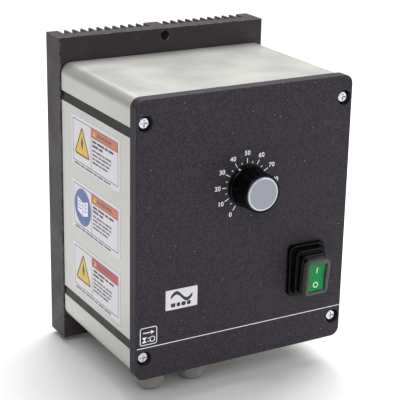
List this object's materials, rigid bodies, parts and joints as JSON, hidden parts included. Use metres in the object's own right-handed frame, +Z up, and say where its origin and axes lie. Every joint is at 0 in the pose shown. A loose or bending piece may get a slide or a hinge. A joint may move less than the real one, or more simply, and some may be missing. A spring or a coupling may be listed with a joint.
{
  "type": "variable frequency drive",
  "caption": "Wall-mounted motor drive: finned heat sink, extruded housing, front cover with a speed knob and a sealed rocker switch, and cable glands below.",
  "frame": {"origin": "midway between the two wall-bolt holes, on the plane of the heat sink ribs that lie against the wall", "axes": "+Z up, the front cover faces -Y, +X to the right seen from the front"},
  "size_m": [0.16, 0.1565, 0.224],
  "materials": {
    "black_anodised": "black anodised, faint scuffs",
    "housing_grey": "satin light grey",
    "cover_black": "fine black texture",
    "gasket_rubber": "matt",
    "trim_black": "satin",
    "zinc_steel": "zinc plated",
    "bright_steel": "nickel plated",
    "knob_black": "satin",
    "cap_grey": "satin grey",
    "brass": "satin",
    "track_brown": "phenolic",
    "switch_black": "satin",
    "rocker_green": "translucent green",
    "boot_black": "glossy soft plastic",
    "window_clear": "clear, slightly smoky",
    "label_white": "printed film",
    "gland_grey": "light grey",
    "board_green": "solder mask",
    "pad_grey": "matt",
    "module_black": "moulded",
    "capacitor_black": "sleeved",
    "ferrite": "matt",
    "copper": "enamelled",
    "relay_blue": "moulded",
    "fuse_white": "ceramic",
    "terminal_green": "moulded"
  },
  "bodies": {
    "housing": {"board_header": "module_black", "board_screws": "zinc_steel", "board_standoffs": "brass", "charging_relay": "relay_blue", "choke_core": "ferrite", "choke_windings": "copper", "control_board": "board_green", "control_parts": "module_black", "control_spacers": "gland_grey", "cover_screws": "zinc_steel", "dc_capacitors": "capacitor_black", "earth_nuts": "brass", "earth_stud": "brass", "front_cover": "cover_black", "front_gasket": "gasket_rubber", "fuse": "fuse_white", "fuse_holder": "module_black", "gland_left_body": "gland_grey", "gland_left_locknut": "gland_grey", "gland_left_washer": "gasket_rubber", "gland_right_body": "gland_grey", "gland_right_locknut": "gland_grey", "gland_right_washer": "gasket_rubber", "groove_strips_left": "trim_black", "groove_strips_right": "trim_black", "heat_sink": "black_anodised", "housing_shell": "housing_grey", "inverter_module": "module_black", "label_lower": "label_white", "label_middle": "label_white", "label_upper": "label_white", "module_screws": "zinc_steel", "nameplate": "label_white", "pot_case": "bright_steel", "pot_nut": "bright_steel", "pot_track": "track_brown", "pot_washer": "bright_steel", "power_board": "board_green", "rear_gasket": "gasket_rubber", "rear_screws": "zinc_steel", "rectifier": "module_black", "switch_body": "switch_black", "switch_boot": "boot_black", "switch_terminals": "brass", "terminal_block": "terminal_green", "terminal_screws": "zinc_steel", "thermal_pad": "pad_grey"},
    "knob": {"knob_body": "knob_black", "knob_cap": "cap_grey", "knob_collet": "brass", "collet_nut": "brass", "pot_shaft": "bright_steel"},
    "rocker": {"switch_rocker": "rocker_green", "switch_window": "window_clear"},
    "gland_left_clamp": {"gland_left_clamp_ring": "gland_grey", "gland_left_seal": "gasket_rubber"},
    "gland_left_nut": {"gland_left_dome_nut": "gland_grey"},
    "gland_right_clamp": {"gland_right_clamp_ring": "gland_grey", "gland_right_seal": "gasket_rubber"},
    "gland_right_nut": {"gland_right_dome_nut": "gland_grey"}
  },
  "joints": [
    {"name": "knob_turn", "type": "hinge", "parent": "housing", "child": "knob", "pos_m": [0, -0.1365, 0.0287], "axis": [0, 1, 0], "range_deg": [-117.2, 175.8]},
    {"name": "rocker_tilt", "type": "hinge", "parent": "housing", "child": "rocker", "pos_m": [0.048, -0.1377, -0.0372], "axis": [-1, 0, 0], "range_deg": [0, 12]},
    {"name": "gland_left_travel", "type": "slide", "parent": "housing", "child": "gland_left_clamp", "axis": [0, 0, 1], "range_m": [0, 0.0021]},
    {"name": "gland_left_turn", "type": "hinge", "parent": "gland_left_clamp", "child": "gland_left_nut", "pos_m": [-0.0555, -0.1095, -0.1142], "axis": [0, 0, 1], "range_deg": [0, 480]},
    {"name": "gland_right_travel", "type": "slide", "parent": "housing", "child": "gland_right_clamp", "axis": [0, 0, 1], "range_m": [0, 0.0021]},
    {"name": "gland_right_turn", "type": "hinge", "parent": "gland_right_clamp", "child": "gland_right_nut", "pos_m": [-0.023, -0.1095, -0.1142], "axis": [0, 0, 1], "range_deg": [0, 480]}
  ],
  "couplings": [
    {"joint": "gland_left_travel", "follows": "gland_left_turn", "m_per_rad": 0.00023873},
    {"joint": "gland_right_travel", "follows": "gland_right_turn", "m_per_rad": 0.00023873}
  ]
}
